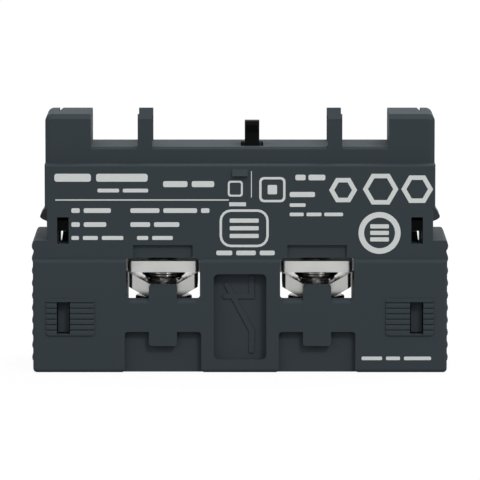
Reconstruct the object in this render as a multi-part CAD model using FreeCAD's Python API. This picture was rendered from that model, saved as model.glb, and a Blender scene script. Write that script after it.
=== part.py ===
import FreeCAD, Part
import math
import os

# Auxiliary contact block: a side-by-side pair of screw clamps with one bridging contact between them.
# The case is two half shells that meet on the plane y = 0. It clips up into a circuit breaker by the
# two ears and the two latch arms, and the breaker presses the plunger down to open the contact.
# Millimetres, +X to the right, -Y towards the front face, +Z up; the origin is under the middle of the case.

os.makedirs("parts", exist_ok=True)

# Case, outside
case_width = 44.28
case_depth = 14.0
foot_height = 12.2
shoulder_rise = 1.98
label_rise = 10.1
crown_rise = 1.7
ear_rise = 3.5
shoulder_ledge = 1.29
label_setback = 0.5
crown_setback = 2.2
wall = 1.2
parting_gap = 0.04
foot_edge_radius = 0.42
label_corner_radius = 0.22
crown_chamfer = 0.5
ear_corner_radius = 0.75
floor_chamfer = 0.25
side_relief = 0.22
side_relief_rise = 3.42

# Ears, fork tabs and the nose on the label face
ear_width = 4.89
ear_notch_width = 0.34
ear_notch_depth = 0.35
ear_notch_inset = 1.35
tab_inner_x = 9.4
tab_width = 1.55
prong_thickness = 1.3
nose_half_width = 0.82
nose_height = 0.71
nose_depth = 0.45
nose_drop = 0.46

# Finger ribs on the two ends
rib_pitch = 1.33
rib_height = 1.01
rib_top_drop = 0.58
rib_crest = 0.11
rib_valley = 0.08
rib_facets = 4

# Front face: window, grip pads, wire mouths and tongues
window_half_width = 2.82
window_bottom = 1.4
window_top_below_foot = 1.58
window_depth = 1.2
window_corner_radius = 0.5
pad_inset = 1.44
pad_width = 5.11
pad_bottom = 4.04
pad_height = 3.98
pad_rise = 0.18
pad_corner_radius = 0.33
pad_groove_count = 6
pad_groove_pitch = 0.588
pad_groove_depth = 0.14
snap_slot_width = 1.42
snap_slot_height = 3.48
snap_slot_inset = 1.11
snap_slot_drop = 0.13
snap_head_depth = 1.1
snap_clearance = 0.12
tongue_half_width = 1.5
tongue_bottom = 2.88
tongue_above_sill = 1.5
tongue_corner_radius = 0.35
foot_recess_half_width = 4.1
foot_recess_height = 4.4
foot_recess_depth = 0.8
foot_recess_bevel = 0.25
mouth_half_width = 3.95
mouth_sill_below_foot = 4.28
mouth_sill_radius = 0.5
mouth_corner_radius = 0.31
rear_sill_below_front = 2.0
pocket_half_width = 3.18
pocket_height = 1.49
pocket_depth = 0.38

# Release slots for the latch arms
slot_width = 1.24
slot_inset = 1.32
slot_height = 2.87
slot_sill_below_shoulder = 0.37
slot_tunnel_depth = 3.2
rear_slot_drop = 1.06

# Screw clamps
terminal_centre = 8.24
plate_half_width = 3.79
plate_thickness = 1.2
plate_below_foot = 0.56
wire_entry = 2.0
plate_corner_radius = 0.4
strap_thickness = 0.84
strap_half_width = 2.2
strap_toe = 0.22
lug_reach = 0.75
lug_rise = 0.9
partition_thickness = 0.95
chamber_clearance = 0.06
seat_clearance = 0.05
saddle_half_width = 3.7
saddle_thickness = 1.58
saddle_flat_half_width = 1.52
saddle_slope_deg = 29.5
clamp_travel = 2.0
screw_radius = 1.7
screw_clearance = 0.05
saddle_hole_clearance = 0.35
screw_tip_length = 1.0
head_radius = 3.05
head_height = 2.2
head_chamfer = 0.3
driver_slot_width = 0.9
driver_slot_depth = 1.1
driver_bore_clearance = 0.2
driver_tube_wall = 0.85
driver_tube_gap = 0.6

# Contacts, plunger and springs
contact_arm_rise = 5.2
tip_radius = 0.6
tip_height = 0.5
tip_shank_radius = 0.35
tip_fit = 0.01
bridge_thickness = 0.6
bridge_half_depth = 1.2
contact_gap = 0.02
side_clearance = 0.3
slide_clearance = 0.08
plunger_travel = 2.0
bridge_float = 0.5
slider_leg = 0.95
slider_bar = 0.8
head_plate_thickness = 1.0
blade_left = 0.51
blade_width = 1.57
blade_rise = 2.47
blade_half_depth = 1.2
blade_waist_height = 1.3
blade_flare = 1.0
blade_chamfer = 0.4
blade_slot_margin = 0.42
blade_slot_front = 3.0
blade_slot_rear = 2.0
contact_spring_length = 2.8
contact_spring_radius = 1.3
contact_wire_radius = 0.15
contact_spring_turns = 5
return_spring_radius = 1.75
return_wire_radius = 0.2
return_spring_turns = 7
wire_sides = 6
rings_per_turn = 12
spring_seat_height = 1.8
spring_peg_height = 1.2
spring_peg_gap = 0.15
spring_seat_gap = 0.02

# Latch arms
arm_thickness = 1.0
arm_half_width = 2.4
arm_clearance = 0.1
pivot_below_label = 0.9
pivot_inset = 0.9
trunnion_radius = 0.5
trunnion_length = 0.8
trunnion_clearance = 0.05
hook_reach = 0.65
hook_tip_rise = 2.15
hook_ramp_length = 1.2
hook_tip_radius = 0.2
toe_rise = 0.57
toe_height = 1.15
toe_length = 1.7

# Places that follow from the sizes above
half_width = case_width / 2
label_half_width = half_width - shoulder_ledge
foot_depth = case_depth / 2
label_depth = foot_depth - label_setback
crown_depth = label_depth - crown_setback
foot_inner = foot_depth - wall
label_inner = label_depth - wall
crown_inner = crown_depth - wall
shoulder_top = foot_height + shoulder_rise
side_relief_top = shoulder_top + side_relief_rise
label_top = foot_height + label_rise
crown_floor = label_top + crown_rise
ear_top = crown_floor + ear_rise
crown_ceiling = crown_floor - wall
seam = parting_gap / 2
skin = wall / 6

window_top = foot_height - window_top_below_foot
front_sill = foot_height - mouth_sill_below_foot
tongue_top = front_sill + tongue_above_sill

first_rib = shoulder_top - rib_top_drop
rib_count = 1 + int((first_rib - rib_height / 2 - foot_edge_radius) / rib_pitch)

plate_half_depth = foot_inner - wire_entry
plate_top = foot_height - plate_below_foot
plate_bottom = plate_top - plate_thickness
chamber_half = mouth_half_width + chamber_clearance
chamber_in = terminal_centre - chamber_half
chamber_out = terminal_centre + chamber_half
plate_in = terminal_centre - plate_half_width
plate_out = terminal_centre + plate_half_width
strap_in = plate_in - strap_thickness
strap_bottom = plate_bottom - strap_toe
arm_top = plate_top + contact_arm_rise
arm_bottom = arm_top - strap_thickness
saddle_top = plate_bottom - seat_clearance / 2
saddle_drop = (saddle_half_width - saddle_flat_half_width) * math.tan(math.radians(saddle_slope_deg))
saddle_bottom = saddle_top - saddle_thickness - saddle_drop
head_top = saddle_bottom - contact_gap
head_bottom = head_top - head_height
driver_bore_radius = head_radius + driver_bore_clearance
driver_tube_radius = driver_bore_radius + driver_tube_wall
driver_tube_top = saddle_bottom - clamp_travel - driver_tube_gap

touch_height = arm_bottom - tip_height
bridge_top = touch_height - contact_gap - tip_height
bridge_bottom = bridge_top - bridge_thickness
bridge_half_length = strap_in - side_clearance
tip_centre = bridge_half_length - tip_radius - side_clearance / 3
arm_end = tip_centre - tip_radius - side_clearance / 3
slider_half_width = arm_end - side_clearance
window_half = contact_spring_radius + side_clearance / 2
slider_half_depth = window_half + slider_leg
slider_window_bottom = bridge_bottom - contact_spring_length
slider_window_top = bridge_top + bridge_float + contact_gap
slider_bottom = slider_window_bottom - slider_bar
slider_top = crown_ceiling - seat_clearance
guide_top = slider_top - head_plate_thickness - plunger_travel - side_clearance
guide_bottom = arm_top + side_clearance * 2
blade_right = blade_left + blade_width
blade_top = crown_floor + blade_rise
spring_seat_top = wall + spring_seat_height

pivot_x = label_half_width - pivot_inset
pivot_z = label_top - pivot_below_label
barrel_radius = pivot_inset - seat_clearance
arm_pocket = arm_half_width + arm_clearance
toe_bottom = shoulder_top + toe_rise
toe_top = toe_bottom + toe_height
slot_outer_x = label_half_width - slot_inset
slot_inner_x = slot_outer_x - slot_width
slot_bottom = shoulder_top - slot_sill_below_shoulder
snap_outer_x = half_width - pad_inset - snap_slot_inset
snap_inner_x = snap_outer_x - snap_slot_width
snap_middle_z = pad_bottom + pad_height / 2 - snap_slot_drop
snap_catch = snap_slot_width / 3
snap_head_face = foot_depth + pad_rise - snap_head_depth
snap_ledge_face = snap_head_face - wall / 2


def block(x0, x1, d0, d1, z0, z1):
    """A box between two distances in front of the parting plane."""
    corner = FreeCAD.Vector(min(x0, x1), -d1, z0)
    return Part.makeBox(abs(x1 - x0), d1 - d0, z1 - z0, corner)


def profile_face(points):
    """A flat face whose outline joins the points; a point may be an arc's middle, marked by True."""
    edges = []
    count = len(points)
    index = 0
    while index < count:
        start = points[index][0]
        after = points[(index + 1) % count]
        if after[1]:
            end = points[(index + 2) % count][0]
            edges.append(Part.Arc(start, after[0], end).toShape())
            index += 2
        else:
            edges.append(Part.LineSegment(start, after[0]).toShape())
            index += 1
    return Part.Face(Part.Wire(edges))


def front_prism(outline, d0, d1):
    """An outline of (x, z) or (x, z, is_arc_middle) points, drawn on y = -d0 and pushed forward to -d1."""
    points = []
    for item in outline:
        points.append((FreeCAD.Vector(item[0], -d0, item[1]), len(item) > 2))
    return profile_face(points).extrude(FreeCAD.Vector(0, d0 - d1, 0))


def side_prism(outline, x0, x1):
    """An outline of (distance in front, z) points, drawn on x0 and pushed along X to x1."""
    points = []
    for item in outline:
        points.append((FreeCAD.Vector(x0, -item[0], item[1]), False))
    return profile_face(points).extrude(FreeCAD.Vector(x1 - x0, 0, 0))


def edges_where(shape, test):
    """The straight or curved edges whose two ends both pass the test."""
    picked = []
    for edge in shape.Edges:
        ends = [vertex.Point for vertex in edge.Vertexes]
        if len(ends) == 2 and test(ends[0]) and test(ends[1]):
            picked.append(edge)
    return picked


def close(a, b):
    """Two lengths that are the same to a thousandth."""
    return abs(a - b) < 1e-3


def rounded_block(x0, x1, d0, d1, z0, z1, radius):
    """A box with its four front-to-back edges rounded."""
    shape = block(x0, x1, d0, d1, z0, z1)
    corners = [edge for edge in shape.Edges if close(edge.Length, d1 - d0)
               and close(edge.Vertexes[0].Point.x, edge.Vertexes[1].Point.x)
               and close(edge.Vertexes[0].Point.z, edge.Vertexes[1].Point.z)]
    return shape.makeFillet(radius, corners)


def upright(x, y, radius, z0, z1):
    """A vertical cylinder."""
    return Part.makeCylinder(radius, z1 - z0, FreeCAD.Vector(x, y, z0))


def across(x, z, radius, d0, d1):
    """A cylinder along the depth, from the parting plane side d0 to d1 in front."""
    return Part.makeCylinder(radius, d1 - d0, FreeCAD.Vector(x, -d1, z), FreeCAD.Vector(0, 1, 0))


def coil(outer_radius, wire_radius, z0, z1, turns):
    """A round-wire compression spring standing on z0, skinned over many-sided rings along the helix."""
    radius = outer_radius - wire_radius
    rise = (z1 - z0 - 2 * wire_radius) / (2 * math.pi * turns)
    lean = math.atan2(rise, radius)
    corner_reach = wire_radius / math.sqrt(math.sin(2 * math.pi / wire_sides) * wire_sides / (2 * math.pi))
    rings = []
    for index in range(turns * rings_per_turn + 1):
        around = 2 * math.pi * index / rings_per_turn
        out = FreeCAD.Vector(math.cos(around), math.sin(around), 0)
        ahead = FreeCAD.Vector(-math.sin(around), math.cos(around), 0)
        along = ahead * math.cos(lean) + FreeCAD.Vector(0, 0, math.sin(lean))
        up = out.cross(along)
        middle = out * radius + FreeCAD.Vector(0, 0, z0 + wire_radius + rise * around)
        corners = []
        for corner in range(wire_sides + 1):
            angle = 2 * math.pi * (corner + 0.5) / wire_sides
            corners.append(middle + (out * math.cos(angle) + up * math.sin(angle)) * corner_reach)
        rings.append(Part.makePolygon(corners))
    return Part.makeLoft(rings, True, True)


def both_hands(make):
    """The same feature on the right and on the left."""
    return [make(1), make(-1)]


def ribbed_core():
    """The foot and shoulders as one outline, with the finger ribs rolled into both ends."""
    crest = half_width + rib_crest
    valley = half_width - rib_valley
    half_rib = rib_height / 2
    right = [(half_width - foot_edge_radius, 0)]
    bend = foot_edge_radius * (1 - math.cos(math.pi / 4))
    right.append((half_width - bend, bend, True))
    right.append((half_width, foot_edge_radius))
    swell = crest - valley
    bow = (half_rib ** 2 + swell ** 2) / (2 * swell)
    sweep = math.asin(half_rib / bow)
    for index in reversed(range(rib_count)):
        z = first_rib - index * rib_pitch
        for step in range(rib_facets + 1):
            angle = sweep * (2 * step / rib_facets - 1)
            right.append((crest - bow + bow * math.cos(angle), z + bow * math.sin(angle)))
    right.append((valley - 2 * rib_valley, shoulder_top))
    left = []
    for item in reversed(right):
        left.append((-item[0],) + item[1:])
    return front_prism(right + left, 0, label_depth)


def foot_plate():
    """The flat plate that stands proud of the ribs, rounded on its front edges."""
    plate = block(-half_width, half_width, foot_inner, foot_depth, 0, foot_height)
    front = edges_where(plate, lambda p: close(p.y, -foot_depth))
    ends = [edge for edge in plate.Edges if close(edge.Length, wall) and close(edge.Vertexes[0].Point.z, 0)
            and close(edge.Vertexes[1].Point.z, 0)]
    return plate.makeFillet(foot_edge_radius, front + ends)


def label_block():
    """The middle block that carries the printed face, a little narrower beside the latch hooks."""
    stages = []
    for half, z0, z1 in ((label_half_width - side_relief, foot_height - wall, side_relief_top + wall),
                         (label_half_width, side_relief_top, label_top)):
        shape = block(-half, half, 0, label_depth, z0, z1)
        front = edges_where(shape, lambda p: close(p.y, -label_depth))
        keep = [edge for edge in front if edge.CenterOfMass.z > z0 + wall / 2]
        stages.append(shape.makeFillet(label_corner_radius, keep))
    return stages[0].fuse(stages[1])


def crown():
    """The narrow top with the two ears, bevelled along its top edges."""
    ear_in = label_half_width - ear_width
    bend = ear_corner_radius * (1 - math.cos(math.pi / 4))
    right = [(label_half_width, label_top - wall)]
    right.append((label_half_width, ear_top - ear_corner_radius))
    right.append((label_half_width - bend, ear_top - bend, True))
    right.append((label_half_width - ear_corner_radius, ear_top))
    right.append((ear_in, ear_top))
    right.append((ear_in, crown_floor))
    left = []
    for item in reversed(right):
        left.append((-item[0],) + item[1:])
    shape = front_prism(right + left, 0, crown_depth)
    high = edges_where(shape, lambda p: close(p.y, -crown_depth) and p.z > ear_top - ear_corner_radius - 0.01)
    shape = shape.makeChamfer(crown_chamfer, high)
    lip = edges_where(shape, lambda p: close(p.y, -crown_depth) and close(p.z, crown_floor))
    return shape.makeChamfer(floor_chamfer, lip)


def prong(hand):
    """One pointed prong of a fork tab."""
    inner = crown_depth - prong_thickness
    bevel = prong_thickness - crown_chamfer
    outline = [(crown_depth, crown_ceiling), (crown_depth, ear_top - crown_chamfer)]
    outline += [(crown_depth - crown_chamfer, ear_top), (inner, ear_top - bevel), (inner, crown_ceiling)]
    return side_prism(outline, hand * tab_inner_x, hand * (tab_inner_x + tab_width))


def nose():
    """The small wedge under the top edge of the printed face."""
    top = label_top - nose_drop
    outline = [(label_inner, top), (label_depth, top), (label_depth + nose_depth, top - nose_height)]
    outline.append((label_inner, top - nose_height))
    return side_prism(outline, -nose_half_width, nose_half_width)


def hollow():
    """The space inside a half shell, with the ears cored out."""
    side = half_width - wall - rib_valley
    upper = label_half_width - wall
    ear_in = label_half_width - ear_width
    step = foot_height - wall / 2
    spaces = [block(-side, side, -1, foot_inner, wall, step)]
    spaces.append(block(-upper, upper, -1, label_inner, wall, label_top - wall))
    spaces.append(block(-upper, upper, -1, crown_inner, wall, crown_ceiling))
    spaces += both_hands(lambda h: block(h * (ear_in + wall), h * upper, -1, crown_inner,
                                         label_top - wall, ear_top - wall))
    return spaces


def inside_walls(rear):
    """Partitions, driver tubes, spring seat, plunger guides and release-slot tunnels."""
    top = arm_bottom - side_clearance
    walls = []
    walls += both_hands(lambda h: block(h * (chamber_in - partition_thickness), h * chamber_in,
                                        0, foot_inner + skin, wall / 2, foot_height))
    walls += both_hands(lambda h: block(h * (chamber_in - partition_thickness), h * chamber_in,
                                        0, label_inner + skin, foot_height / 2, top))
    walls += both_hands(lambda h: block(h * chamber_out, h * (chamber_out + partition_thickness),
                                        0, foot_inner + skin, wall / 2, foot_height))
    walls += both_hands(lambda h: block(h * chamber_out, h * (chamber_out + partition_thickness),
                                        0, label_inner + skin, foot_height / 2, shoulder_top))
    walls += both_hands(lambda h: upright(h * terminal_centre, 0, driver_tube_radius, wall / 2,
                                          driver_tube_top))
    walls.append(upright(0, 0, return_spring_radius + spring_peg_gap * 2, wall / 2, spring_seat_top))
    peg = return_spring_radius - 2 * return_wire_radius - spring_peg_gap
    walls.append(upright(0, 0, peg, wall / 2, spring_seat_top + spring_peg_height))
    pad = window_half_width + wall
    walls.append(block(-pad, pad, foot_depth - window_depth - wall, foot_inner + skin, wall / 2,
                       window_top + wall / 2))
    guide_in = slider_half_depth + slide_clearance
    guide_side = slider_half_width + slide_clearance
    walls.append(block(-guide_side - wall / 2, guide_side + wall / 2, guide_in, label_inner + skin,
                       guide_bottom, guide_top))
    walls += both_hands(lambda h: block(h * guide_side, h * (guide_side + wall / 2),
                                        slider_half_depth - slider_leg, guide_in + skin,
                                        guide_bottom, guide_top))
    drop = rear_slot_drop if rear else 0
    tunnel = label_depth - slot_tunnel_depth
    walls += both_hands(lambda h: block(h * (slot_inner_x - wall / 2), h * (label_half_width - wall / 2),
                                        tunnel, label_inner + skin, slot_bottom - drop - wall / 2,
                                        slot_bottom - drop + slot_height + wall / 2))
    walls += both_hands(lambda h: block(h * (pivot_x - barrel_radius), h * (label_half_width - wall / 2),
                                        arm_pocket, label_inner + skin, pivot_z - barrel_radius,
                                        label_top - wall / 2))
    return walls


def rear_stop(hand):
    """A curved rib under a latch arm's toe."""
    top = toe_bottom - seat_clearance
    low = slot_bottom - rear_slot_drop
    mid = (top + low) / 2
    edge = slot_outer_x - slot_width / 3
    outline = [(hand * (slot_inner_x - wall), low), (hand * (slot_outer_x - seat_clearance), low)]
    outline += [(hand * (edge + slot_width / 12), mid, True), (hand * edge, top)]
    outline.append((hand * (slot_inner_x - wall), top))
    return front_prism(outline, seam, label_inner + skin)


def snap_arm(hand):
    """The hook that the rear shell pushes through the front shell, with its head in the pad's slot."""
    inner = snap_inner_x + snap_clearance
    shank = snap_outer_x - snap_catch - snap_clearance
    low = snap_middle_z - snap_slot_height / 2 + snap_clearance
    high = low + snap_slot_height - 2 * snap_clearance
    stem = block(hand * inner, hand * shank, -foot_inner, snap_head_face, low, high)
    head = block(hand * inner, hand * (snap_outer_x - snap_clearance),
                 snap_ledge_face + seat_clearance, snap_head_face, low, high)
    return stem.fuse(head)


def snap_socket(hand):
    """The thick place behind a pad where the rear shell's hook catches."""
    low = snap_middle_z - snap_slot_height / 2 - wall / 2
    return block(hand * (snap_inner_x - wall / 2), hand * (snap_outer_x + wall / 2),
                 snap_ledge_face - wall / 2, foot_inner + skin, low, low + snap_slot_height + wall)


def snap_cut(hand):
    """The slot in a pad: full width outside the ledge and narrow behind it."""
    low = snap_middle_z - snap_slot_height / 2
    wide = block(hand * snap_inner_x, hand * snap_outer_x, snap_ledge_face, foot_depth + 1,
                 low, low + snap_slot_height)
    narrow = block(hand * snap_inner_x, hand * (snap_outer_x - snap_catch), foot_inner / 2, foot_depth,
                   low, low + snap_slot_height)
    return wide.fuse(narrow)


def grip_pad(hand):
    """A raised pad with level grooves for the finger."""
    x1 = half_width - pad_inset
    pad = rounded_block(hand * x1, hand * (x1 - pad_width), foot_inner + skin, foot_depth + pad_rise,
                        pad_bottom, pad_bottom + pad_height, pad_corner_radius)
    middle = pad_bottom + pad_height / 2
    start = middle - (pad_groove_count - 1) * pad_groove_pitch / 2
    face = foot_depth + pad_rise
    for index in range(pad_groove_count):
        z = start + index * pad_groove_pitch
        vee = [(face - pad_groove_depth, z), (face + 0.1, z - pad_groove_depth - 0.1)]
        vee.append((face + 0.1, z + pad_groove_depth + 0.1))
        pad = pad.cut(side_prism(vee, hand * (x1 - pad_width - 1), hand * (x1 + 1)))
    return pad


def tongue(hand):
    """The flat tongue that stands in front of the wire mouth and the foot recess."""
    x = hand * terminal_centre
    return rounded_block(x - tongue_half_width, x + tongue_half_width, foot_inner, foot_depth,
                         tongue_bottom, tongue_top, tongue_corner_radius)


def front_cuts(rear):
    """Everything cut into the walls: window, recesses, wire mouths, bores, slots and seats."""
    sill = front_sill - (rear_sill_below_front if rear else 0)
    mouth_top = foot_height + 0.1
    cuts = [rounded_block(-window_half_width, window_half_width, foot_depth - window_depth,
                          foot_depth + 1, window_bottom, window_top, window_corner_radius)]
    drop = rear_slot_drop if rear else 0
    for hand in (1, -1):
        x = hand * terminal_centre
        cuts.append(rounded_block(x - mouth_half_width, x + mouth_half_width, label_inner / 2,
                                  foot_depth + 1, sill, mouth_top, mouth_corner_radius))
        lip = block(x - mouth_half_width + mouth_corner_radius, x + mouth_half_width - mouth_corner_radius,
                    foot_depth - mouth_sill_radius, foot_depth + 0.1, sill - mouth_sill_radius, sill + 0.1)
        roll = Part.makeCylinder(mouth_sill_radius, 2 * mouth_half_width + 2,
                                 FreeCAD.Vector(x - mouth_half_width - 1,
                                                mouth_sill_radius - foot_depth, sill - mouth_sill_radius),
                                 FreeCAD.Vector(1, 0, 0))
        cuts.append(lip.cut(roll))
        cuts.append(rounded_block(x - foot_recess_half_width, x + foot_recess_half_width,
                                  foot_depth - foot_recess_depth, foot_depth + 1, -1,
                                  foot_recess_height, tongue_corner_radius))
        flare = foot_recess_half_width + 2 * foot_recess_bevel
        bevel = [(x - flare, -foot_recess_bevel), (x - foot_recess_half_width, foot_recess_bevel)]
        bevel += [(x + foot_recess_half_width, foot_recess_bevel), (x + flare, -foot_recess_bevel)]
        cuts.append(front_prism(bevel, foot_depth - foot_recess_depth, foot_depth + 1))
        cuts.append(block(x - pocket_half_width, x + pocket_half_width, label_depth - pocket_depth,
                          label_depth + 1, foot_height, foot_height + pocket_height))
        cuts.append(block(hand * slot_inner_x, hand * slot_outer_x, label_depth - slot_tunnel_depth - 1,
                          label_depth + 1, slot_bottom - drop, slot_bottom - drop + slot_height))
    return cuts


def seat_cuts(rear):
    """Openings that hold the moving pieces and the contact strips."""
    cuts = []
    slot_end = blade_slot_rear if rear else blade_slot_front
    cuts.append(block(blade_left - blade_slot_margin, blade_right + blade_slot_margin, -1, slot_end,
                      crown_ceiling - 1, crown_floor + 1))
    for hand in (1, -1):
        cuts.append(upright(hand * terminal_centre, 0, driver_bore_radius, -1, foot_height / 2))
        cuts.append(block(hand * (label_half_width - wall - 1), hand * (half_width + 1), -1, arm_pocket,
                          shoulder_top + wall / 6, label_top))
        cuts.append(block(hand * (strap_in - 1), hand * (chamber_in + 0.5), -1,
                          strap_half_width + seat_clearance, strap_bottom - seat_clearance, arm_top))
        cuts.append(block(hand * (chamber_out - 1), hand * (plate_out + lug_reach + seat_clearance), -1,
                          strap_half_width + seat_clearance, plate_bottom - seat_clearance,
                          plate_top + lug_rise + seat_clearance))
        cuts.append(across(hand * pivot_x, pivot_z, trunnion_radius + trunnion_clearance, -1,
                           arm_half_width + trunnion_length + seat_clearance))
    return cuts


def ear_notch(hand):
    """The small nick in the top of an ear."""
    outer = hand * (label_half_width - ear_notch_inset)
    inner = hand * (label_half_width - ear_notch_inset - ear_notch_width)
    outline = [(outer, ear_top + 1), (outer, ear_top - ear_notch_depth), (inner, ear_top)]
    outline.append((inner, ear_top + 1))
    return front_prism(outline, -1, crown_depth + 1)


def half_shell(rear):
    """One half of the case, drawn in front of the parting plane; the rear one is turned over at the end."""
    shape = ribbed_core().multiFuse([foot_plate(), label_block(), crown()])
    shape = shape.cut(Part.makeCompound(hollow()))
    shape = shape.multiFuse(inside_walls(rear) + both_hands(prong) + both_hands(grip_pad) + [nose()])
    if rear:
        shape = shape.multiFuse(both_hands(rear_stop))
    else:
        shape = shape.multiFuse(both_hands(snap_socket))
    for cut in front_cuts(rear) + seat_cuts(rear):
        shape = shape.cut(cut)
    shape = shape.multiFuse(both_hands(tongue))
    if rear:
        shape = shape.cut(Part.makeCompound(both_hands(ear_notch)))
        shape = shape.cut(block(-half_width - 1, half_width + 1, -foot_depth, seam, -1, ear_top + 1))
        shape = shape.removeSplitter().mirror(FreeCAD.Vector(0, 0, 0), FreeCAD.Vector(0, 1, 0))
        arms = both_hands(snap_arm)
        return shape.multiFuse(arms).removeSplitter()
    for cut in both_hands(snap_cut):
        shape = shape.cut(cut)
    shape = shape.cut(block(-half_width - 1, half_width + 1, -foot_depth, seam, -1, ear_top + 1))
    return shape.removeSplitter()


def plunger():
    """The black slider: blade on top, head plate under the case floor, and a frame round the bridge."""
    depth = slider_half_depth
    body = block(-slider_half_width, slider_half_width, -depth, depth, slider_bottom, slider_top)
    plate = block(-slider_half_width, blade_right + seat_clearance, -depth, depth,
                  slider_top - head_plate_thickness, slider_top)
    window = block(-slider_half_width - 1, slider_half_width + 1, -window_half, window_half,
                   slider_window_bottom, slider_window_top)
    waist = crown_floor + blade_waist_height
    front = blade_half_depth + blade_flare
    outline = [(front, slider_top - skin), (front, crown_floor), (blade_half_depth, waist)]
    outline += [(blade_half_depth, blade_top - blade_chamfer), (blade_half_depth - blade_chamfer, blade_top)]
    outline.append((-blade_half_depth + blade_chamfer, blade_top))
    outline.append((-blade_half_depth, blade_top - blade_chamfer))
    outline.append((-blade_half_depth, slider_top - skin))
    blade = side_prism(outline, blade_left, blade_right)
    low_peg = return_spring_radius - 2 * return_wire_radius - spring_peg_gap
    high_peg = contact_spring_radius - 2 * contact_wire_radius - spring_peg_gap
    pegs = [upright(0, 0, low_peg, slider_bottom - spring_peg_height, slider_bottom + skin)]
    pegs.append(upright(0, 0, high_peg, slider_window_bottom - skin,
                        slider_window_bottom + spring_peg_height / 2))
    return body.fuse(plate).cut(window).multiFuse([blade] + pegs).removeSplitter()


def bridge():
    """The moving contact strip, with a round hole for each silver tip."""
    strip = rounded_strip(bridge_half_length, bridge_half_depth, bridge_bottom, bridge_top)
    for hand in (1, -1):
        strip = strip.cut(upright(hand * tip_centre, 0, tip_shank_radius + tip_fit,
                                  bridge_bottom - 1, bridge_top + 1))
    return strip


def rounded_strip(half_length, half_depth, z0, z1):
    """A flat strip with rounded upright corners."""
    strip = Part.makeBox(2 * half_length, 2 * half_depth, z1 - z0,
                         FreeCAD.Vector(-half_length, -half_depth, z0))
    uprights = [edge for edge in strip.Edges if close(edge.Length, z1 - z0)
                and not close(edge.Vertexes[0].Point.z, edge.Vertexes[1].Point.z)]
    return strip.makeFillet(half_depth / 4, uprights)


def bridge_tip(hand):
    """A silver rivet on top of the bridge, with its shank through the strip."""
    head = upright(hand * tip_centre, 0, tip_radius, bridge_top, bridge_top + tip_height)
    shank = upright(hand * tip_centre, 0, tip_shank_radius, bridge_bottom, bridge_top)
    return head.fuse(shank)


def fixed_tip(hand):
    """A silver rivet under the fixed arm, with its shank up through the strip."""
    head = upright(hand * tip_centre, 0, tip_radius, touch_height, arm_bottom)
    shank = upright(hand * tip_centre, 0, tip_shank_radius, arm_bottom, arm_top)
    return head.fuse(shank)


def terminal_plate(hand):
    """The clamp plate with its threaded hole, a lug on the outside and a strap bent up to the contact."""
    pad = Part.makeBox(2 * plate_half_width, 2 * plate_half_depth, plate_thickness,
                       FreeCAD.Vector(plate_in, -plate_half_depth, plate_bottom))
    uprights = [edge for edge in pad.Edges if close(edge.Length, plate_thickness)
                and close(edge.Vertexes[0].Point.x, edge.Vertexes[1].Point.x)
                and close(edge.Vertexes[0].Point.y, edge.Vertexes[1].Point.y)]
    pad = pad.makeFillet(plate_corner_radius, uprights)
    w = strap_half_width
    bend = strap_thickness
    outline = [(plate_in, strap_bottom), (plate_in, plate_bottom), (plate_in + skin, plate_bottom)]
    outline += [(plate_in + skin, plate_top), (plate_in, plate_top)]
    outline += [(plate_in, arm_top - bend), (plate_in - bend * (1 - math.cos(math.pi / 4)),
                arm_top - bend * (1 - math.sin(math.pi / 4)), True), (plate_in - bend, arm_top)]
    outline += [(arm_end, arm_top), (arm_end, arm_bottom), (strap_in, arm_bottom), (strap_in, strap_bottom)]
    strap = front_prism(outline, -w, w)
    lug_out = plate_out + lug_reach
    lug = [(plate_out - skin, plate_bottom), (lug_out, plate_bottom), (lug_out, plate_top + lug_rise)]
    lug += [(plate_out + seat_clearance, plate_top + lug_rise), (plate_out + seat_clearance, plate_top)]
    lug.append((plate_out - skin, plate_top))
    shape = pad.multiFuse([strap, front_prism(lug, -w, w)])
    hole = upright(terminal_centre, 0, screw_radius + screw_clearance, plate_bottom - 1, plate_top + 1)
    shank = upright(tip_centre, 0, tip_shank_radius + tip_fit, arm_bottom - 1, arm_top + 1)
    shape = shape.cut(hole).cut(shank).removeSplitter()
    return placed(shape, hand)


def clamp_saddle(hand):
    """The bent saddle that the screw pulls up against the wire."""
    out = saddle_half_width
    flat = saddle_flat_half_width
    low = saddle_top - saddle_drop
    outline = [(-out, saddle_top), (-flat, low), (flat, low), (out, saddle_top)]
    outline += [(out, saddle_top - saddle_thickness), (flat, low - saddle_thickness)]
    outline += [(-flat, low - saddle_thickness), (-out, saddle_top - saddle_thickness)]
    shape = front_prism(outline, -plate_half_depth, plate_half_depth)
    ends = edges_where(shape, lambda p: close(abs(p.x), out) and close(abs(p.y), plate_half_depth))
    uprights = [edge for edge in ends if close(edge.Vertexes[0].Point.x, edge.Vertexes[1].Point.x)
                and close(edge.Vertexes[0].Point.y, edge.Vertexes[1].Point.y)]
    shape = shape.makeFillet(plate_corner_radius, uprights)
    hole = upright(0, 0, screw_radius + saddle_hole_clearance, saddle_bottom - 1, saddle_top + 1)
    shape = shape.cut(hole)
    shape.translate(FreeCAD.Vector(terminal_centre, 0, 0))
    return placed(shape, hand)


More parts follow.
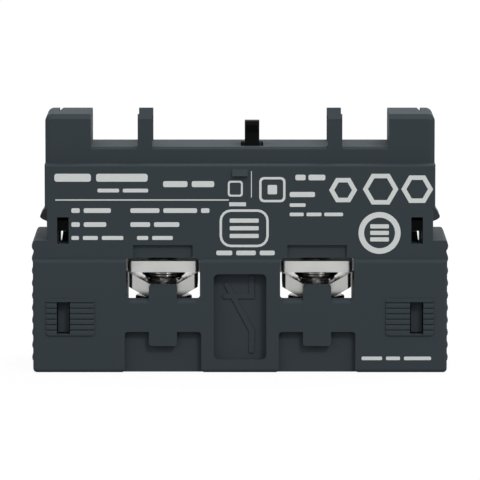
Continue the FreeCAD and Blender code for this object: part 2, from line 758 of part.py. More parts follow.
def terminal_screw(hand):
    """The clamp screw, head down, with a crossed driver slot."""
    tip = plate_top + screw_tip_length
    point = screw_radius / 4
    outline = [(0, head_bottom), (head_radius, head_bottom), (head_radius, head_top - head_chamfer)]
    outline += [(head_radius - head_chamfer, head_top), (screw_radius, head_top)]
    outline += [(screw_radius, tip - point), (screw_radius - point, tip), (0, tip)]
    corners = [FreeCAD.Vector(x, 0, z) for x, z in outline]
    face = Part.Face(Part.makePolygon(corners + corners[:1]))
    shape = face.revolve(FreeCAD.Vector(0, 0, 0), FreeCAD.Vector(0, 0, 1), 360)
    long_slot = Part.makeBox(2 * head_radius + 2, driver_slot_width, driver_slot_depth + 1,
                             FreeCAD.Vector(-head_radius - 1, -driver_slot_width / 2, head_bottom - 1))
    short_slot = Part.makeBox(driver_slot_width, head_radius, driver_slot_depth + 1,
                              FreeCAD.Vector(-driver_slot_width / 2, -head_radius / 2, head_bottom - 1))
    shape = shape.cut(long_slot.fuse(short_slot))
    shape.translate(FreeCAD.Vector(terminal_centre, 0, 0))
    return placed(shape, hand)


def latch_arm(hand):
    """The sprung side hook, hung from trunnions under the ear, with a toe for the release blade."""
    out = label_half_width
    inner = out - arm_thickness
    tip_z = shoulder_top + hook_tip_rise
    lip = tip_z - hook_tip_radius
    outline = [(inner, pivot_z), (inner, toe_top), (inner - toe_length + seat_clearance, toe_top)]
    outline.append((inner - toe_length + seat_clearance, toe_bottom))
    outline.append((out - 2 * seat_clearance - hook_reach / 2, toe_bottom))
    outline += [(out - side_relief, lip - hook_reach * 0.6), (out + hook_reach * 0.6, lip - hook_reach * 0.2)]
    outline += [(out + hook_reach - hook_tip_radius / 2, lip), (out + hook_reach, tip_z, True)]
    outline += [(out + hook_reach - hook_tip_radius / 2, tip_z + hook_tip_radius)]
    outline += [(out, tip_z + hook_ramp_length), (out, pivot_z)]
    shape = front_prism(outline, -arm_half_width, arm_half_width)
    barrel = across(pivot_x, pivot_z, barrel_radius, -arm_half_width, arm_half_width)
    reach = arm_half_width + trunnion_length
    trunnions = across(pivot_x, pivot_z, trunnion_radius, -reach, reach)
    shape = shape.multiFuse([barrel, trunnions]).removeSplitter()
    return placed(shape, hand)


def placed(shape, hand):
    """A right-hand piece, or its mirror image on the left."""
    if hand > 0:
        return shape
    return shape.mirror(FreeCAD.Vector(0, 0, 0), FreeCAD.Vector(1, 0, 0))


def save(name, shape):
    """Write one piece as a single solid."""
    solids = shape.Solids
    solid = solids[0] if len(solids) == 1 else shape
    solid.exportStep("parts/" + name + ".step")
    print(name, len(solids), round(shape.Volume, 3), shape.isValid())


save("front_shell", half_shell(False))
save("rear_shell", half_shell(True))
save("plunger", plunger())
save("contact_bridge", bridge())
save("contact_spring", coil(contact_spring_radius, contact_wire_radius,
                            slider_window_bottom + spring_seat_gap, bridge_bottom - spring_seat_gap,
                            contact_spring_turns))
save("return_spring", coil(return_spring_radius, return_wire_radius,
                           spring_seat_top + spring_seat_gap, slider_bottom - spring_seat_gap,
                           return_spring_turns))
for side_name, side in (("right", 1), ("left", -1)):
    save("bridge_tip_" + side_name, bridge_tip(side))
    save("fixed_tip_" + side_name, fixed_tip(side))
    save("terminal_plate_" + side_name, terminal_plate(side))
    save("clamp_saddle_" + side_name, clamp_saddle(side))
    save("terminal_screw_" + side_name, terminal_screw(side))
    save("latch_arm_" + side_name, latch_arm(side))
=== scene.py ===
import math

import bmesh
import bpy
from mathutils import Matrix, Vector


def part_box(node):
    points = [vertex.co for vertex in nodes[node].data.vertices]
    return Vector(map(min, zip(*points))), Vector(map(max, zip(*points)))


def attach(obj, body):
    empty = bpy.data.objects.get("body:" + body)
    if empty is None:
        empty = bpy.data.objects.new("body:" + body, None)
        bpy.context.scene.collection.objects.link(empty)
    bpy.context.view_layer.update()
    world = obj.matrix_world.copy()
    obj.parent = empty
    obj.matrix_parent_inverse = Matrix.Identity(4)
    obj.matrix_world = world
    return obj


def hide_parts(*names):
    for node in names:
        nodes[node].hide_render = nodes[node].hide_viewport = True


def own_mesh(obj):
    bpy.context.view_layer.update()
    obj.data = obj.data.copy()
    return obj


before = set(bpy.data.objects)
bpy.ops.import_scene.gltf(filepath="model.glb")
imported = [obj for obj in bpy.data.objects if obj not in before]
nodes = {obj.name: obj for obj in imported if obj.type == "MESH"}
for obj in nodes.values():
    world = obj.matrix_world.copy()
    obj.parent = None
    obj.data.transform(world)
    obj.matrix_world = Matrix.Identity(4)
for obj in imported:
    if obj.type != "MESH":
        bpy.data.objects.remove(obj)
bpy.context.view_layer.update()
mm = 0.001

# The two case halves are glass-filled nylon, moulded in dark slate grey and snapped together.
# The tools were spark-eroded, so the faces are satin with a very fine even grain.
slate = (0.0385, 0.0487, 0.0559, 1)
grain_strength = 0.35
gloss_patch = 9 * mm
gloss_swing = 0.05


def shader_of(material):
    """The main shader of a new material."""
    material.use_nodes = True
    return material.node_tree.nodes["Principled BSDF"]


def noise_level(tree, vector, size, detail):
    """Noise with features about as large as size, fixed to the piece."""
    noise = tree.nodes.new("ShaderNodeTexNoise")
    noise.inputs["Scale"].default_value = 1 / size
    noise.inputs["Detail"].default_value = detail
    tree.links.new(vector, noise.inputs["Vector"])
    return noise.outputs["Fac"]


def vary_roughness(tree, level, roughness, swing):
    """Let the roughness follow a noise to either side of its middle."""
    spread = tree.nodes.new("ShaderNodeMapRange")
    spread.inputs["To Min"].default_value = roughness - swing
    spread.inputs["To Max"].default_value = roughness + swing
    tree.links.new(level, spread.inputs["Value"])
    tree.links.new(spread.outputs["Result"], tree.nodes["Principled BSDF"].inputs["Roughness"])


def raise_relief(tree, level, strength, depth):
    """Stand the finest relief of a finish up as bump."""
    bump = tree.nodes.new("ShaderNodeBump")
    bump.inputs["Strength"].default_value = strength
    bump.inputs["Distance"].default_value = depth
    tree.links.new(level, bump.inputs["Height"])
    tree.links.new(bump.outputs["Normal"], tree.nodes["Principled BSDF"].inputs["Normal"])


def moulded_plastic(name, colour, roughness, gloss, grain_size, grain_depth):
    """A moulding's finish: one colour, slightly uneven gloss and a fine eroded grain."""
    material = bpy.data.materials.new(name)
    shader = shader_of(material)
    tree = material.node_tree
    shader.inputs["Base Color"].default_value = colour
    shader.inputs["Specular IOR Level"].default_value = gloss
    place = tree.nodes.new("ShaderNodeTexCoord").outputs["Object"]
    vary_roughness(tree, noise_level(tree, place, gloss_patch, detail=2), roughness, gloss_swing)
    raise_relief(tree, noise_level(tree, place, grain_size, detail=3), grain_strength, grain_depth)
    return material


def finish_nodes(material, *names):
    """Give CAD nodes their real finish."""
    for name in names:
        slots = nodes[name].data.materials
        if not slots:
            slots.append(material)
        for index in range(len(slots)):
            slots[index] = material


case_plastic = moulded_plastic("case_plastic", slate, roughness=0.6, gloss=0.05,
                               grain_size=0.11 * mm, grain_depth=0.004 * mm)
finish_nodes(case_plastic, "front_shell", "rear_shell")

# Each window in the foot carries a moulded sign of a changeover contact, raised a tenth of a millimetre.
# It is part of the same moulding, so it has the same slate plastic and rounded edges.
window_floor = 5.8 * mm
contact_rise = 0.10 * mm
lever_rise = 0.11 * mm
sign_width = 0.57 * mm
sign_edge = 0.04 * mm
contact_line = [(1.25, 10.15), (1.25, 8.12), (-1.61, 8.12)]
lever_line = [(-1.41, 9.34), (1.26, 4.37), (1.22, 2.25)]
stroke_end_steps = 8
sharpest_mitre = 0.3


def stroke_outline(points, width):
    """The closed outline of a round-ended line of even width through the points."""
    half = width / 2
    path = [Vector(point) for point in points]
    loop = []
    for side in (path, list(reversed(path))):
        for index in range(len(side) - 1):
            ahead = (side[index + 1] - side[index]).normalized()
            out = Vector((-ahead.y, ahead.x)) * half
            if index:
                before = (side[index] - side[index - 1]).normalized()
                mitre = (Vector((-before.y, before.x)) + Vector((-ahead.y, ahead.x))).normalized()
                loop.append(side[index] + mitre * (half / max(sharpest_mitre, mitre.dot(out.normalized()))))
            else:
                loop.append(side[index] + out)
        end = side[-1]
        ahead = (end - side[-2]).normalized()
        start_angle = math.atan2(ahead.x, -ahead.y)
        for step in range(stroke_end_steps + 1):
            turn = start_angle - math.pi * step / stroke_end_steps
            loop.append(end + Vector((math.cos(turn), math.sin(turn))) * half)
    return [(point.x, point.y) for point in loop]


def raised_shapes(name, loops, face, rise, round_edge, material, rear=False):
    """Flat shapes in (x, z) metres that stand up from a front or rear face of the case.

    They reach as deep into the face as they stand out of it, and a loop inside another is a hole.
    """
    curve = bpy.data.curves.new(name, "CURVE")
    curve.dimensions = "2D"
    curve.fill_mode = "BOTH"
    curve.extrude = rise
    curve.bevel_depth = round_edge
    curve.offset = -round_edge
    for loop in loops:
        spline = curve.splines.new("POLY")
        spline.points.add(len(loop) - 1)
        for point, (x, z) in zip(spline.points, loop):
            point.co = (x, z, 0, 1)
        spline.use_cyclic_u = True
    drawn = bpy.data.objects.new(name + "_line", curve)
    bpy.context.scene.collection.objects.link(drawn)
    drawn.rotation_euler = (math.pi / 2, 0, math.pi if rear else 0)
    drawn.location = (0, (face if rear else -face), 0)
    bpy.context.view_layer.update()
    mesh = bpy.data.meshes.new_from_object(drawn.evaluated_get(bpy.context.evaluated_depsgraph_get()))
    mesh.transform(drawn.matrix_world)
    mesh.name = name
    bpy.data.objects.remove(drawn)
    piece = bpy.data.objects.new(name, mesh)
    bpy.context.scene.collection.objects.link(piece)
    mesh.materials.clear()
    mesh.materials.append(material)
    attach(piece, "case")


for line_name, line, rise in (("contact", contact_line, contact_rise), ("lever", lever_line, lever_rise)):
    stroke = stroke_outline([(x * mm, z * mm) for x, z in line], sign_width)
    for end_name, at_rear in (("front", False), ("rear", True)):
        raised_shapes("sign_" + line_name + "_" + end_name, [stroke], window_floor, rise, sign_edge,
                      case_plastic, at_rear)

# The front carries plain light-grey pad printing: bars, a rule, frames and rings.
# The ink is matt, covers a little unevenly, and stands under two hundredths of a millimetre proud.
label_face = 6.5 * mm
foot_face = 7.0 * mm
ink_rise = 0.016 * mm
ink_thin = (0.584, 0.609, 0.600, 1)
ink_thick = (0.632, 0.659, 0.650, 1)
ink_gloss = 0.15
ink_patch = 0.3 * mm
corner_steps = 4
circle_sides = 48
row_corner = 0.3
row_gap = 0.42
line_end_corner = 0.02
stack_thickness = 0.45
bar_height = 0.5
small_height = 0.42
tiny_height = 0.38


def pad_ink():
    """Matt ink that a soft pad lays down a little unevenly."""
    material = bpy.data.materials.new("pad_ink")
    shader = shader_of(material)
    tree = material.node_tree
    shader.inputs["Specular IOR Level"].default_value = ink_gloss
    place = tree.nodes.new("ShaderNodeTexCoord").outputs["Object"]
    cover = noise_level(tree, place, ink_patch, detail=2)
    shade = tree.nodes.new("ShaderNodeMix")
    shade.data_type = "RGBA"
    shade.inputs["A"].default_value = ink_thin
    shade.inputs["B"].default_value = ink_thick
    tree.links.new(cover, shade.inputs["Factor"])
    tree.links.new(shade.outputs["Result"], shader.inputs["Base Color"])
    vary_roughness(tree, cover, roughness=0.7, swing=0.08)
    return material


def rounded_bar(x0, x1, z0, z1, radius=0.1):
    """The outline of a bar with rounded corners, from millimetres."""
    radius = min(radius, (z1 - z0) / 2, (x1 - x0) / 2)
    loop = []
    for cx, cz, start in ((x1 - radius, z1 - radius, 0), (x0 + radius, z1 - radius, 90),
                          (x0 + radius, z0 + radius, 180), (x1 - radius, z0 + radius, 270)):
        for step in range(corner_steps + 1):
            turn = math.radians(start + step * 90 / corner_steps)
            loop.append(((cx + radius * math.cos(turn)) * mm, (cz + radius * math.sin(turn)) * mm))
    return loop


def printed_frame(x0, x1, z0, z1, line, radius, inner_radius):
    """A rounded frame drawn with an even line, from millimetres."""
    return [rounded_bar(x0, x1, z0, z1, radius),
            rounded_bar(x0 + line, x1 - line, z0 + line, z1 - line, inner_radius)]


def even_sided(x, z, radius, sides):
    """The outline of an even-sided shape, from millimetres."""
    loop = []
    for step in range(sides):
        angle = 2 * math.pi * step / sides
        loop.append(((x + radius * math.cos(angle)) * mm, (z + radius * math.sin(angle)) * mm))
    return loop


def printed_ring(x, z, radius, line, sides):
    """An even-sided ring, from millimetres."""
    return [even_sided(x, z, radius, sides), even_sided(x, z, radius - line, sides)]


def printed_stack(x0, x1, heights):
    """Short bars one above another, from millimetres."""
    return [rounded_bar(x0, x1, z, z + stack_thickness) for z in heights]


def printed_row(x0, z0, height, lengths, gap=row_gap):
    """A row of short bars, from millimetres."""
    loops = []
    x = x0
    for length in lengths:
        loops.append(rounded_bar(x, x + length, z0, z0 + height, height * row_corner))
        x += length + gap
    return loops


print_loops = printed_row(-19.8, 20.5, 0.85, (3.9, 5.5), 0.55)
print_loops += printed_row(-15.2, 19.35, 0.4, (2.3, 2.7), 0.4)
print_loops += printed_row(-8.2, 19.92, 0.64, (2.6, 2.4), 0.45)
print_loops.append(rounded_bar(-19.71, -1.2, 18.475, 18.6, line_end_corner))
print_loops += printed_row(-18.0, 17.15, bar_height, (0.9, 2.9))
print_loops += printed_row(-11.7, 17.15, bar_height, (3.1, 3.6, 0.9))
print_loops += printed_row(-18.0, 15.65, bar_height, (0.9, 2.4))
print_loops += printed_row(-11.7, 15.65, bar_height, (2.1, 2.7))
print_loops += printed_row(-18.0, 14.25, small_height, (0.8, 1.6, 2.3))
print_loops += printed_row(-11.0, 14.25, small_height, (1.2, 2.2))
print_loops.append(rounded_bar(-1.15, 0.64, 17.87, 18.29, line_end_corner))
print_loops += printed_frame(-1.3, 0.3, 18.9, 20.6, line=0.2, radius=0.3, inner_radius=0.18)
print_loops.append(rounded_bar(1.17, 1.26, 18.8, 21.62, line_end_corner))
print_loops += printed_frame(-2.18, 3.07, 13.47, 17.53, line=0.26, radius=1.2, inner_radius=0.95)
print_loops += printed_stack(-1.1, 2.0, (14.45, 15.28, 16.1))
print_loops += printed_row(-2.53, 12.6, bar_height, (1.7, 2.1, 1.6))
print_loops += printed_frame(2.05, 4.85, 18.3, 21.0, line=0.25, radius=0.5, inner_radius=0.32)
print_loops.append(rounded_bar(2.95, 3.95, 19.15, 20.15, 0.12))
print_loops += printed_row(5.9, 20.65, 0.6, (1.1, 1.8), 0.3)
print_loops += printed_row(5.3, 18.85, 0.55, (2.7,))
print_loops += printed_row(5.3, 17.8, tiny_height, (1.7,))
print_loops += printed_row(5.3, 16.8, tiny_height, (1.5, 1.6, 2.0), 0.3)
for x, z, radius in ((11.0, 19.6, 1.5), (15.0, 19.7, 1.9), (18.9, 19.7, 1.7)):
    print_loops += printed_ring(x, z, radius, line=0.55, sides=6)
print_loops += printed_ring(14.9, 15.0, 2.25, line=0.6, sides=circle_sides)
print_loops += printed_stack(13.9, 15.9, (14.08, 14.78, 15.48))
foot_loops = printed_row(13.0, 1.36, tiny_height, (2.2, 1.5, 2.9))
ink = pad_ink()
raised_shapes("label_print", print_loops, label_face, ink_rise, 0, ink)
raised_shapes("foot_print", foot_loops, foot_face, ink_rise, 0, ink)

# A thin lip is moulded along the seam inside the ears and the ends of the foot.
# It locates the two halves and keeps dust and light out of the joint between them.
lip_thickness = 0.06 * mm
lip_spans = [(17.6, 18.4), (21.3, 21.7)]
lip_heights = [(23.6, 27.2), (0.2, 4.5)]
lip_loops = []
for (near, far), (low_end, high_end) in zip(lip_spans, lip_heights):
    lip_loops.append(rounded_bar(near, far, low_end, high_end))
    lip_loops.append(rounded_bar(-far, -near, low_end, high_end))
raised_shapes("seam_lips", lip_loops, 0, lip_thickness / 2, 0, case_plastic)

# The clamp plates with their contact arms, and the saddles, are steel strip, blanked, bent and plated.
# Plating dulls the plates to a soft grey-white with faint rolling lines.
# The saddles are bent from a smoother strip; their darker grey is painted shade for the dim space they sit
# in under the plates.
plated_grey = (0.66, 0.665, 0.645, 1)
saddle_shade_grey = (0.44, 0.445, 0.427, 1)
line_stretch = 0.15
line_strength = 0.3
sheen_swing = 0.06


def plated_metal(name, colour, roughness, line_size, line_depth, metallic=1.0):
    """Worked and plated metal: a soft sheen with fine lines along the piece."""
    material = bpy.data.materials.new(name)
    shader = shader_of(material)
    tree = material.node_tree
    shader.inputs["Base Color"].default_value = colour
    shader.inputs["Metallic"].default_value = metallic
    stretch = tree.nodes.new("ShaderNodeMapping")
    stretch.inputs["Scale"].default_value = (line_stretch, 1, 1)
    tree.links.new(tree.nodes.new("ShaderNodeTexCoord").outputs["Object"], stretch.inputs["Vector"])
    lines = noise_level(tree, stretch.outputs["Vector"], line_size, detail=4)
    vary_roughness(tree, lines, roughness, sheen_swing)
    raise_relief(tree, lines, line_strength, line_depth)
    return material


plated_steel = plated_metal("plated_steel", plated_grey, roughness=0.42,
                            line_size=0.12 * mm, line_depth=0.002 * mm)
# The saddles' darker grey is painted shade, not a different plating.
saddle_steel = plated_metal("saddle_steel", saddle_shade_grey, roughness=0.2,
                            line_size=0.12 * mm, line_depth=0.001 * mm)
for side in ("left", "right"):
    finish_nodes(plated_steel, "terminal_plate_" + side)
    finish_nodes(saddle_steel, "clamp_saddle_" + side)

# The contact rivets are silver alloy, headed cold into the bridge and into the plates' arms.
# Their faces are turned smooth and stay bright.
silver_white = (0.82, 0.81, 0.78, 1)
contact_silver = plated_metal("contact_silver", silver_white, roughness=0.28,
                              line_size=0.2 * mm, line_depth=0.001 * mm)
for side in ("left", "right"):
    finish_nodes(contact_silver, "fixed_tip_" + side, "bridge_tip_" + side)

# The terminal screws have a rolled 0.6 mm thread and a cheese head with a crossed driver slot.
# They are zinc plated and go in head down, so that a driver reaches them from below.
screw_grey = (0.60, 0.59, 0.57, 1)
screw_pitch = 0.6 * mm
thread_crest = 1.69 * mm
thread_root = 1.36 * mm
thread_flat = 0.12
thread_start = 0.1 * mm
thread_run_out = 0.5 * mm
head_height = 2.2 * mm
head_round = 0.25 * mm
head_chamfer = 0.15 * mm
neck_rise = 0.01 * mm
driver_depth = 1.1 * mm
driver_width = 0.9 * mm
cross_reach = 1.45 * mm
cross_extra_depth = 0.3 * mm
slot_reach = 4 * mm
slot_overrun = 1 * mm
turned_sides = 64
round_steps = 6
levels_per_turn = 10
crisp_degrees = 35


def turned_rings(outline):
    """Rings of points for a turned outline of (radius, z)."""
    rings = []
    for radius, z in outline:
        ring = []
        for step in range(turned_sides):
            angle = 2 * math.pi * step / turned_sides
            ring.append(Vector((radius * math.cos(angle), radius * math.sin(angle), z)))
        rings.append(ring)
    return rings


def threaded_rings(z0, z1):
    """Rings of points whose radius follows the thread's flanks and runs out at the tip."""
    rings = []
    count = int(round((z1 - z0) / screw_pitch * levels_per_turn))
    for level in range(count + 1):
        z = z0 + (z1 - z0) * level / count
        run_out = min(1.0, (z1 - z) / thread_run_out)
        ring = []
        for step in range(turned_sides):
            angle = 2 * math.pi * step / turned_sides
            phase = (z / screw_pitch - angle / (2 * math.pi)) % 1.0
            flank = (abs(phase - 0.5) * 2 - thread_flat) / (1 - 2 * thread_flat)
            height = min(1.0, max(0.0, flank)) * run_out
            radius = thread_root + (thread_crest - thread_root) * height
            ring.append(Vector((radius * math.cos(angle), radius * math.sin(angle), z)))
        rings.append(ring)
    return rings


def skin_rings(solid, rings, tube=False):
    """Join rings of points with faces.

    A tube's last ring meets its first, and other skins get flat caps.
    """
    made = [[solid.verts.new(point) for point in ring] for ring in rings]
    count = len(made[0])
    pairs = list(zip(made, made[1:]))
    if tube:
        pairs.append((made[-1], made[0]))
    else:
        solid.faces.new(list(reversed(made[0])))
        solid.faces.new(made[-1])
    for low_ring, high_ring in pairs:
        for step in range(count):
            after = (step + 1) % count
            solid.faces.new((low_ring[step], low_ring[after], high_ring[after], high_ring[step]))


def mesh_piece(name, solid, material, sharp_degrees):
    """A smooth-shaded piece from a mesh in the making, with its sharper edges kept crisp."""
    mesh = bpy.data.meshes.new(name)
    bmesh.ops.recalc_face_normals(solid, faces=solid.faces)
    solid.to_mesh(mesh)
    solid.free()
    for face in mesh.polygons:
        face.use_smooth = True
    mesh.materials.append(material)
    piece = bpy.data.objects.new(name, mesh)
    bpy.context.scene.collection.objects.link(piece)
    mesh.set_sharp_from_angle(angle=math.radians(sharp_degrees))
    return piece


def box_tool(low, high):
    """A box between two corners, to cut with."""
    solid = bmesh.new()
    bmesh.ops.create_cube(solid, size=1)
    size = Vector(high) - Vector(low)
    for vert in solid.verts:
        share = vert.co + Vector((0.5, 0.5, 0.5))
        vert.co = Vector(low) + Vector((share.x * size.x, share.y * size.y, share.z * size.z))
    return mesh_piece("tool", solid, screw_steel, crisp_degrees)


def cut_out(piece, tools):
    """Take other meshes out of a piece and remove them."""
    for tool in tools:
        cut = piece.modifiers.new("cut", "BOOLEAN")
        cut.operation = "DIFFERENCE"
        cut.solver = "EXACT"
        cut.object = tool
    bpy.context.view_layer.update()
    mesh = bpy.data.meshes.new_from_object(piece.evaluated_get(bpy.context.evaluated_depsgraph_get()))
    piece.modifiers.clear()
    piece.data = mesh
    mesh.name = piece.name
    for tool in tools:
        bpy.data.objects.remove(tool)
    mesh.set_sharp_from_angle(angle=math.radians(crisp_degrees))


def head_outline(head_radius, head_bottom, head_top):
    """The head's section as (radius, z), from its chamfered foot to the neck under the thread."""
    outline = [(head_radius - head_chamfer, head_bottom), (head_radius, head_bottom + head_chamfer)]
    for step in range(round_steps + 1):
        angle = math.pi / 2 * step / round_steps
        outline.append((head_radius - head_round * (1 - math.cos(angle)),
                        head_top - head_round * (1 - math.sin(angle))))
    outline.append((thread_root, head_top + neck_rise))
    return outline


screw_steel = plated_metal("screw_steel", screw_grey, roughness=0.24,
                           line_size=0.25 * mm, line_depth=0.001 * mm, metallic=0.8)
for side in ("left", "right"):
    low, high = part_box("terminal_screw_" + side)
    head_top = low.z + head_height
    head = turned_rings(head_outline((high.x - low.x) / 2, low.z, head_top))
    solid = bmesh.new()
    skin_rings(solid, head + threaded_rings(head_top + thread_start, high.z))
    screw = mesh_piece("detailed_screw_" + side, solid, screw_steel, crisp_degrees)
    slot_bottom = low.z - slot_overrun
    slot_top = low.z + driver_depth
    long_slot = box_tool((-slot_reach, -driver_width / 2, slot_bottom),
                         (slot_reach, driver_width / 2, slot_top))
    cross_slot = box_tool((-driver_width / 2, -cross_reach, slot_bottom),
                          (driver_width / 2, cross_reach, slot_top + cross_extra_depth))
    cut_out(screw, [long_slot, cross_slot])
    screw.location = ((low.x + high.x) / 2, 0, 0)
    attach(screw, "screw_" + side)
    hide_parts("terminal_screw_" + side)

# Each plate's thread is cut in a collar that was pressed down through the plate.
# The collar tapers to a thin lip, ends short of the saddle and keeps faint rings from the punch.
# The collar is the plate's own metal; its darker grey is painted shade for the dark chamber under the
# plate.
collar_shade_grey = (0.50, 0.49, 0.47, 1)
collar_reach = 0.9 * mm
collar_root = 0.05 * mm
collar_foot_radius = 2.8 * mm
collar_lip_radius = 2.03 * mm
collar_bore = 1.75 * mm
collar_lip_height = 0.05 * mm
collar_lip_chamfer = 0.06 * mm
collar_ring_depth = 0.045 * mm
collar_ring_count = 3
collar_hollow = 0.9
collar_steps = 24
collar_sharp_degrees = 50
saddle_clearance = 0.025 * mm


def collar_outline(plate_bottom):
    """The collar's section as (radius, z), down the outside and up the bore."""
    collar_top = plate_bottom + collar_root
    collar_end = plate_bottom - collar_reach
    outline = [(collar_foot_radius, collar_top)]
    for step in range(collar_steps + 1):
        share = step / collar_steps
        taper = (collar_foot_radius - collar_lip_radius) * (1 - share) ** collar_hollow
        ring = collar_ring_depth * math.sin(2 * math.pi * collar_ring_count * share)
        outline.append((collar_lip_radius + taper + ring,
                        plate_bottom - (collar_reach - collar_lip_height) * share))
    outline.append((collar_lip_radius - collar_lip_chamfer, collar_end))
    outline.append((collar_bore + collar_lip_chamfer, collar_end))
    outline.append((collar_bore, collar_end + collar_lip_height))
    outline.append((collar_bore, collar_top))
    return outline


collar_steel = plated_metal("collar_steel", collar_shade_grey, roughness=0.2,
                            line_size=0.2 * mm, line_depth=0.001 * mm)
for side in ("left", "right"):
    low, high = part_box("terminal_screw_" + side)
    plate_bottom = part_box("clamp_saddle_" + side)[1].z + saddle_clearance
    solid = bmesh.new()
    skin_rings(solid, turned_rings(collar_outline(plate_bottom)), tube=True)
    collar = mesh_piece("plate_collar_" + side, solid, collar_steel, collar_sharp_degrees)
    collar.location = ((low.x + high.x) / 2, 0, 0)
    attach(collar, "case")

# The moving bridge is a strip of copper alloy, blanked and bent, that joins the two fixed contacts.
# It floats on the contact spring inside the plunger, so that both its ends press alike.
copper_alloy = (0.72, 0.50, 0.27, 1)
contact_brass = plated_metal("contact_brass", copper_alloy, roughness=0.34,
                             line_size=0.15 * mm, line_depth=0.001 * mm)
finish_nodes(contact_brass, "contact_bridge")

# Two compression springs are cold wound from stainless wire. The contact spring presses the bridge up.
# The return spring stands in a seat in the bottom of the case, and shortens by the plunger's travel.
wire_grey = (0.58, 0.58, 0.57, 1)
return_turns = 7
return_wire_radius = 0.2 * mm
wire_sides = 10
coil_steps = 36
wire_sharp_degrees = 60


def wound_wire(outer_radius, wire_radius, low_end, high_end, turns):
    """Rings of points round the wire of a compression spring."""
    radius = outer_radius - wire_radius
    rise = (high_end - low_end - 2 * wire_radius) / (2 * math.pi * turns)
    lean = math.atan2(rise, radius)
    rings = []
    for index in range(turns * coil_steps + 1):
        around = 2 * math.pi * index / coil_steps
        out = Vector((math.cos(around), math.sin(around), 0))
        ahead = Vector((-math.sin(around), math.cos(around), 0))
        along = ahead * math.cos(lean) + Vector((0, 0, math.sin(lean)))
        up = out.cross(along)
        middle = out * radius + Vector((0, 0, low_end + wire_radius + rise * around))
        ring = []
        for corner in range(wire_sides):
            angle = 2 * math.pi * corner / wire_sides
            ring.append(middle + (out * math.cos(angle) + up * math.sin(angle)) * wire_radius)
        rings.append(ring)
    return rings


spring_steel = plated_metal("spring_steel", wire_grey, roughness=0.3,
                            line_size=0.3 * mm, line_depth=0.0005 * mm)
finish_nodes(spring_steel, "contact_spring")
low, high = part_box("return_spring")
solid = bmesh.new()
skin_rings(solid, wound_wire(high.x, return_wire_radius, low.z, high.z, return_turns))
wound_spring = mesh_piece("wound_return_spring", solid, spring_steel, wire_sharp_degrees)
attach(wound_spring, "case")
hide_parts("return_spring")
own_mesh(wound_spring)

# The plunger is one black acetal moulding with a smooth sheen, and it slides in guides in the case.
# The breaker presses its blade, which stands out of the top between the fork tabs.
acetal_black = (0.0004, 0.0005, 0.0007, 1)
plunger_plastic = moulded_plastic("plunger_plastic", acetal_black, roughness=0.52, gloss=0.045,
                                  grain_size=0.2 * mm, grain_depth=0.001 * mm)
finish_nodes(plunger_plastic, "plunger")

# The latch arms are sprung mouldings of unfilled nylon, a little darker than the case.
# Each is held by its trunnions between the two case halves, and its hook clips into the breaker.
nylon_grey = (0.040, 0.050, 0.057, 1)
latch_plastic = moulded_plastic("latch_plastic", nylon_grey, roughness=0.5, gloss=0.1,
                                grain_size=0.15 * mm, grain_depth=0.002 * mm)
finish_nodes(latch_plastic, "latch_arm_left", "latch_arm_right")

# Studio: a plain pale floor and a white surround, a wide lamp above and behind, and a small one in front.
# The floor shows nearly white and keeps a trace of the object's shadow.
floor_grey = (0.85, 0.85, 0.85, 1)
floor_bounce = (0.2, 0.2, 0.2, 1)
floor_roughness = 0.9
floor_shown = 0.94
floor_reach = 3.0
floor_drop = 0.02 * mm
surround_lit = 1.05
surround_shown = 1.0
lamp_target = (0, 0, 0.01)


def shown_white(tree):
    """1 for rays that come straight from the camera, a reflection or a clear piece."""
    light_path = tree.nodes.new("ShaderNodeLightPath")
    first = tree.nodes.new("ShaderNodeMath")
    first.operation = "MAXIMUM"
    tree.links.new(light_path.outputs["Is Camera Ray"], first.inputs[0])
    tree.links.new(light_path.outputs["Is Glossy Ray"], first.inputs[1])
    second = tree.nodes.new("ShaderNodeMath")
    second.operation = "MAXIMUM"
    tree.links.new(first.outputs[0], second.inputs[0])
    tree.links.new(light_path.outputs["Is Transmission Ray"], second.inputs[1])
    return second.outputs[0]


def pale_floor():
    """A matt floor that shows nearly white, and throws only a little light back up."""
    material = bpy.data.materials.new("pale_floor")
    shader = shader_of(material)
    shader.inputs["Roughness"].default_value = floor_roughness
    shader.inputs["Specular IOR Level"].default_value = 0.0
    tree = material.node_tree
    light_path = tree.nodes.new("ShaderNodeLightPath")
    bounce = tree.nodes.new("ShaderNodeMix")
    bounce.data_type = "RGBA"
    bounce.inputs["A"].default_value = floor_grey
    bounce.inputs["B"].default_value = floor_bounce
    tree.links.new(light_path.outputs["Is Diffuse Ray"], bounce.inputs["Factor"])
    tree.links.new(bounce.outputs["Result"], shader.inputs["Base Color"])
    glow = tree.nodes.new("ShaderNodeEmission")
    glow.inputs["Color"].default_value = (1, 1, 1, 1)
    share = tree.nodes.new("ShaderNodeMath")
    share.operation = "MULTIPLY"
    share.inputs[1].default_value = floor_shown
    tree.links.new(shown_white(tree), share.inputs[0])
    mix = tree.nodes.new("ShaderNodeMixShader")
    tree.links.new(share.outputs[0], mix.inputs[0])
    tree.links.new(shader.outputs[0], mix.inputs[1])
    tree.links.new(glow.outputs[0], mix.inputs[2])
    tree.links.new(mix.outputs[0], tree.nodes["Material Output"].inputs["Surface"])
    return material


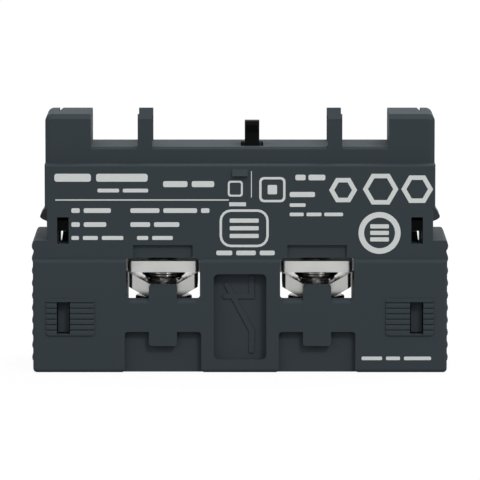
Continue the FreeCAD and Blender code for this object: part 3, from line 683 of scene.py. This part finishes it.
def soft_lamp(name, place, size, power):
    """A square lamp that faces the object."""
    lamp = bpy.data.lights.new(name, "AREA")
    lamp.shape = "SQUARE"
    lamp.size = size
    lamp.energy = power
    holder = bpy.data.objects.new(name, lamp)
    bpy.context.scene.collection.objects.link(holder)
    holder.location = place
    holder.rotation_euler = (Vector(lamp_target) - Vector(place)).to_track_quat("-Z", "Y").to_euler()


floor_mesh = bpy.data.meshes.new("floor")
floor_corners = [(-floor_reach, -floor_reach, 0), (floor_reach, -floor_reach, 0),
                 (floor_reach, floor_reach, 0), (-floor_reach, floor_reach, 0)]
floor_mesh.from_pydata(floor_corners, [], [(0, 1, 2, 3)])
floor_mesh.materials.append(pale_floor())
floor = bpy.data.objects.new("floor", floor_mesh)
bpy.context.scene.collection.objects.link(floor)
floor.location = (0, 0, -floor_drop)

world = bpy.data.worlds.new("white_surround")
bpy.context.scene.world = world
world.use_nodes = True
sky = world.node_tree
surround = sky.nodes["Background"]
surround.inputs["Color"].default_value = (1, 1, 1, 1)
level = sky.nodes.new("ShaderNodeMapRange")
level.inputs["To Min"].default_value = surround_lit
level.inputs["To Max"].default_value = surround_shown
sky.links.new(shown_white(sky), level.inputs["Value"])
sky.links.new(level.outputs["Result"], surround.inputs["Strength"])

soft_lamp("lamp_behind", place=(0.30, 0.44, 0.62), size=0.35, power=2.6)
soft_lamp("lamp_front", place=(0.30, -0.60, 0.60), size=0.14, power=2.5)

# The camera looks a little down on the printed face from 0.55 m away, as the photograph does.
# Its long lens keeps the front nearly square.
view_distance = 0.5532268
view_drop = 0.1165
view_height = 0.0134785
sensor_width = 36
lens_length = 383.954
nearest_shown = 0.01
camera_data = bpy.data.cameras.new("camera")
camera_data.sensor_width = sensor_width
camera_data.lens = lens_length
camera_data.clip_start = nearest_shown
camera = bpy.data.objects.new("camera", camera_data)
camera.location = (0, -view_distance * math.cos(view_drop),
                   view_height + view_distance * math.sin(view_drop))
camera.rotation_euler = (math.pi / 2 - view_drop, 0, 0)
bpy.context.scene.collection.objects.link(camera)
bpy.context.scene.camera = camera
bpy.context.scene.view_settings.view_transform = "Standard"
